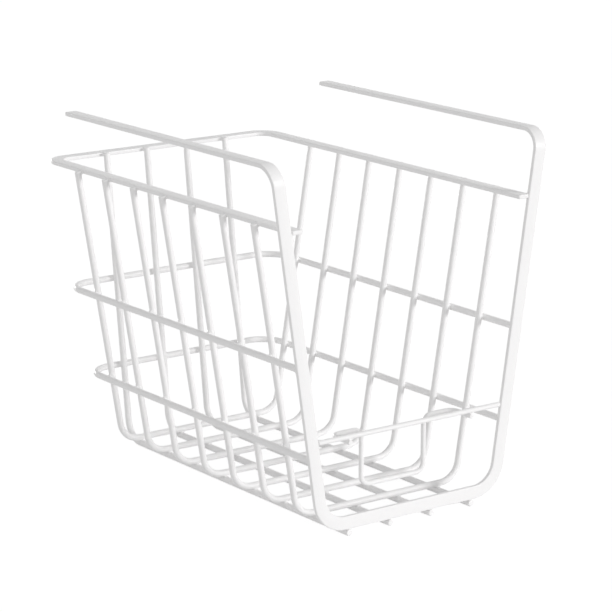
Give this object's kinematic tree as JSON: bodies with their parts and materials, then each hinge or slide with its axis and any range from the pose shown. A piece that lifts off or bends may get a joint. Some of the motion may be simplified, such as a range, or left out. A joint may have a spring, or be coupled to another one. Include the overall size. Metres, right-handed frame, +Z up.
{
  "type": "under shelf basket",
  "caption": "Open-front wire basket with two long flat arms that hang it from a shelf board, so that things are kept in the space under the shelf.",
  "frame": {"origin": "middle of the basket's overall box in plan, on the surface that the long wires under the floor stand on", "axes": "+Z up; -Y is the open front, where the guard wire is, and the arms run back from it towards +Y; +X is to the right seen from the front"},
  "size_m": [0.199, 0.2645, 0.2216],
  "materials": {
    "strip_coat": "white powder coat on flat steel strip, semi-gloss, with a fine orange-peel surface",
    "wire_coat": "white powder coat on 4 mm steel wire, semi-gloss",
    "thin_wire_coat": "white powder coat on 3 mm steel wire, semi-gloss"
  },
  "bodies": {
    "root": {"front_frame": "strip_coat", "top_rim": "strip_coat", "hoop_1": "wire_coat", "hoop_2": "wire_coat", "hoop_3": "wire_coat", "hoop_4": "wire_coat", "hoop_5": "wire_coat", "hoop_6": "wire_coat", "hoop_7": "wire_coat", "long_wire_1": "wire_coat", "long_wire_2": "wire_coat", "long_wire_3": "wire_coat", "long_wire_4": "wire_coat", "middle_rail": "wire_coat", "lower_rail": "wire_coat", "guard_wire": "thin_wire_coat", "front_loop": "thin_wire_coat"}
  },
  "joints": []
}
